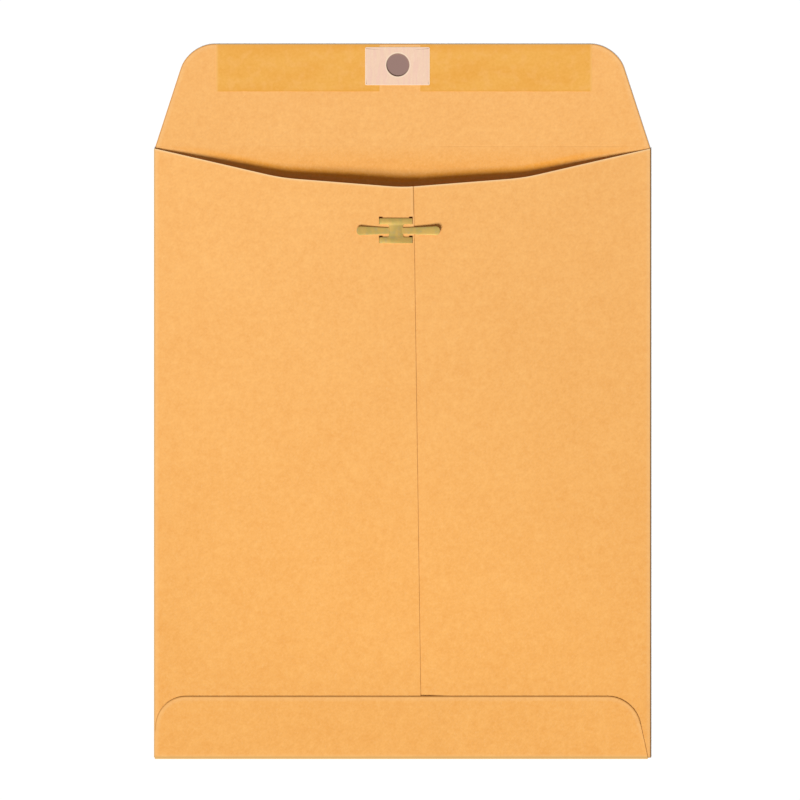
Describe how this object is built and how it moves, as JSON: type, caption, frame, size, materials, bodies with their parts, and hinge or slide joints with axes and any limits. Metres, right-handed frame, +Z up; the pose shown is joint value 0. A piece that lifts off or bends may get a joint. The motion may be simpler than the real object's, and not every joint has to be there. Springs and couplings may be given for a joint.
{
  "type": "clasp envelope",
  "caption": "Large open-end kraft envelope lying on its address side, closure flap open, with gum along the flap, a reinforced hole and a bendable metal clasp below the mouth.",
  "frame": {"origin": "on the table, under the middle of the opened envelope's outline", "axes": "+Y from the bottom fold towards the closure flap, +X to the right seen from the clasp side, +Z up from the address side"},
  "size_m": [0.254, 0.3654, 0.0076],
  "materials": {
    "kraft": "uncoated, faintly fibrous",
    "gum": "dried gum, soft sheen",
    "patch": "uncoated",
    "glue": "dried paste",
    "clasp_metal": "dull plated"
  },
  "bodies": {
    "envelope": {"rear_panel": "kraft", "left_side_panel_lower": "kraft", "left_side_panel_middle": "kraft", "left_side_panel_upper": "kraft", "right_side_panel_lower": "kraft", "right_side_panel_middle": "kraft", "right_side_panel_upper": "kraft", "bottom_flap": "kraft", "seam_glue": "glue", "bottom_flap_glue": "glue", "clasp_base": "clasp_metal"},
    "flap": {"closure_flap": "kraft", "gum_strip_left": "gum", "gum_strip_right": "gum", "hole_patch": "patch"},
    "left_prong": {"clasp_prong_left": "clasp_metal"},
    "right_prong": {"clasp_prong_right": "clasp_metal"}
  },
  "joints": [
    {"name": "flap_fold", "type": "hinge", "parent": "envelope", "child": "flap", "pos_m": [0, 0.1295, 0.0012], "axis": [1, 0, 0], "range_deg": [0, 167]},
    {"name": "left_prong_bend", "type": "hinge", "parent": "envelope", "child": "left_prong", "pos_m": [-0.00715, 0.0871, 0.0067], "axis": [0, 1, 0], "range_deg": [0, 97]},
    {"name": "right_prong_bend", "type": "hinge", "parent": "envelope", "child": "right_prong", "pos_m": [0.00035, 0.0871, 0.0067], "axis": [0, -1, 0], "range_deg": [0, 97]}
  ]
}
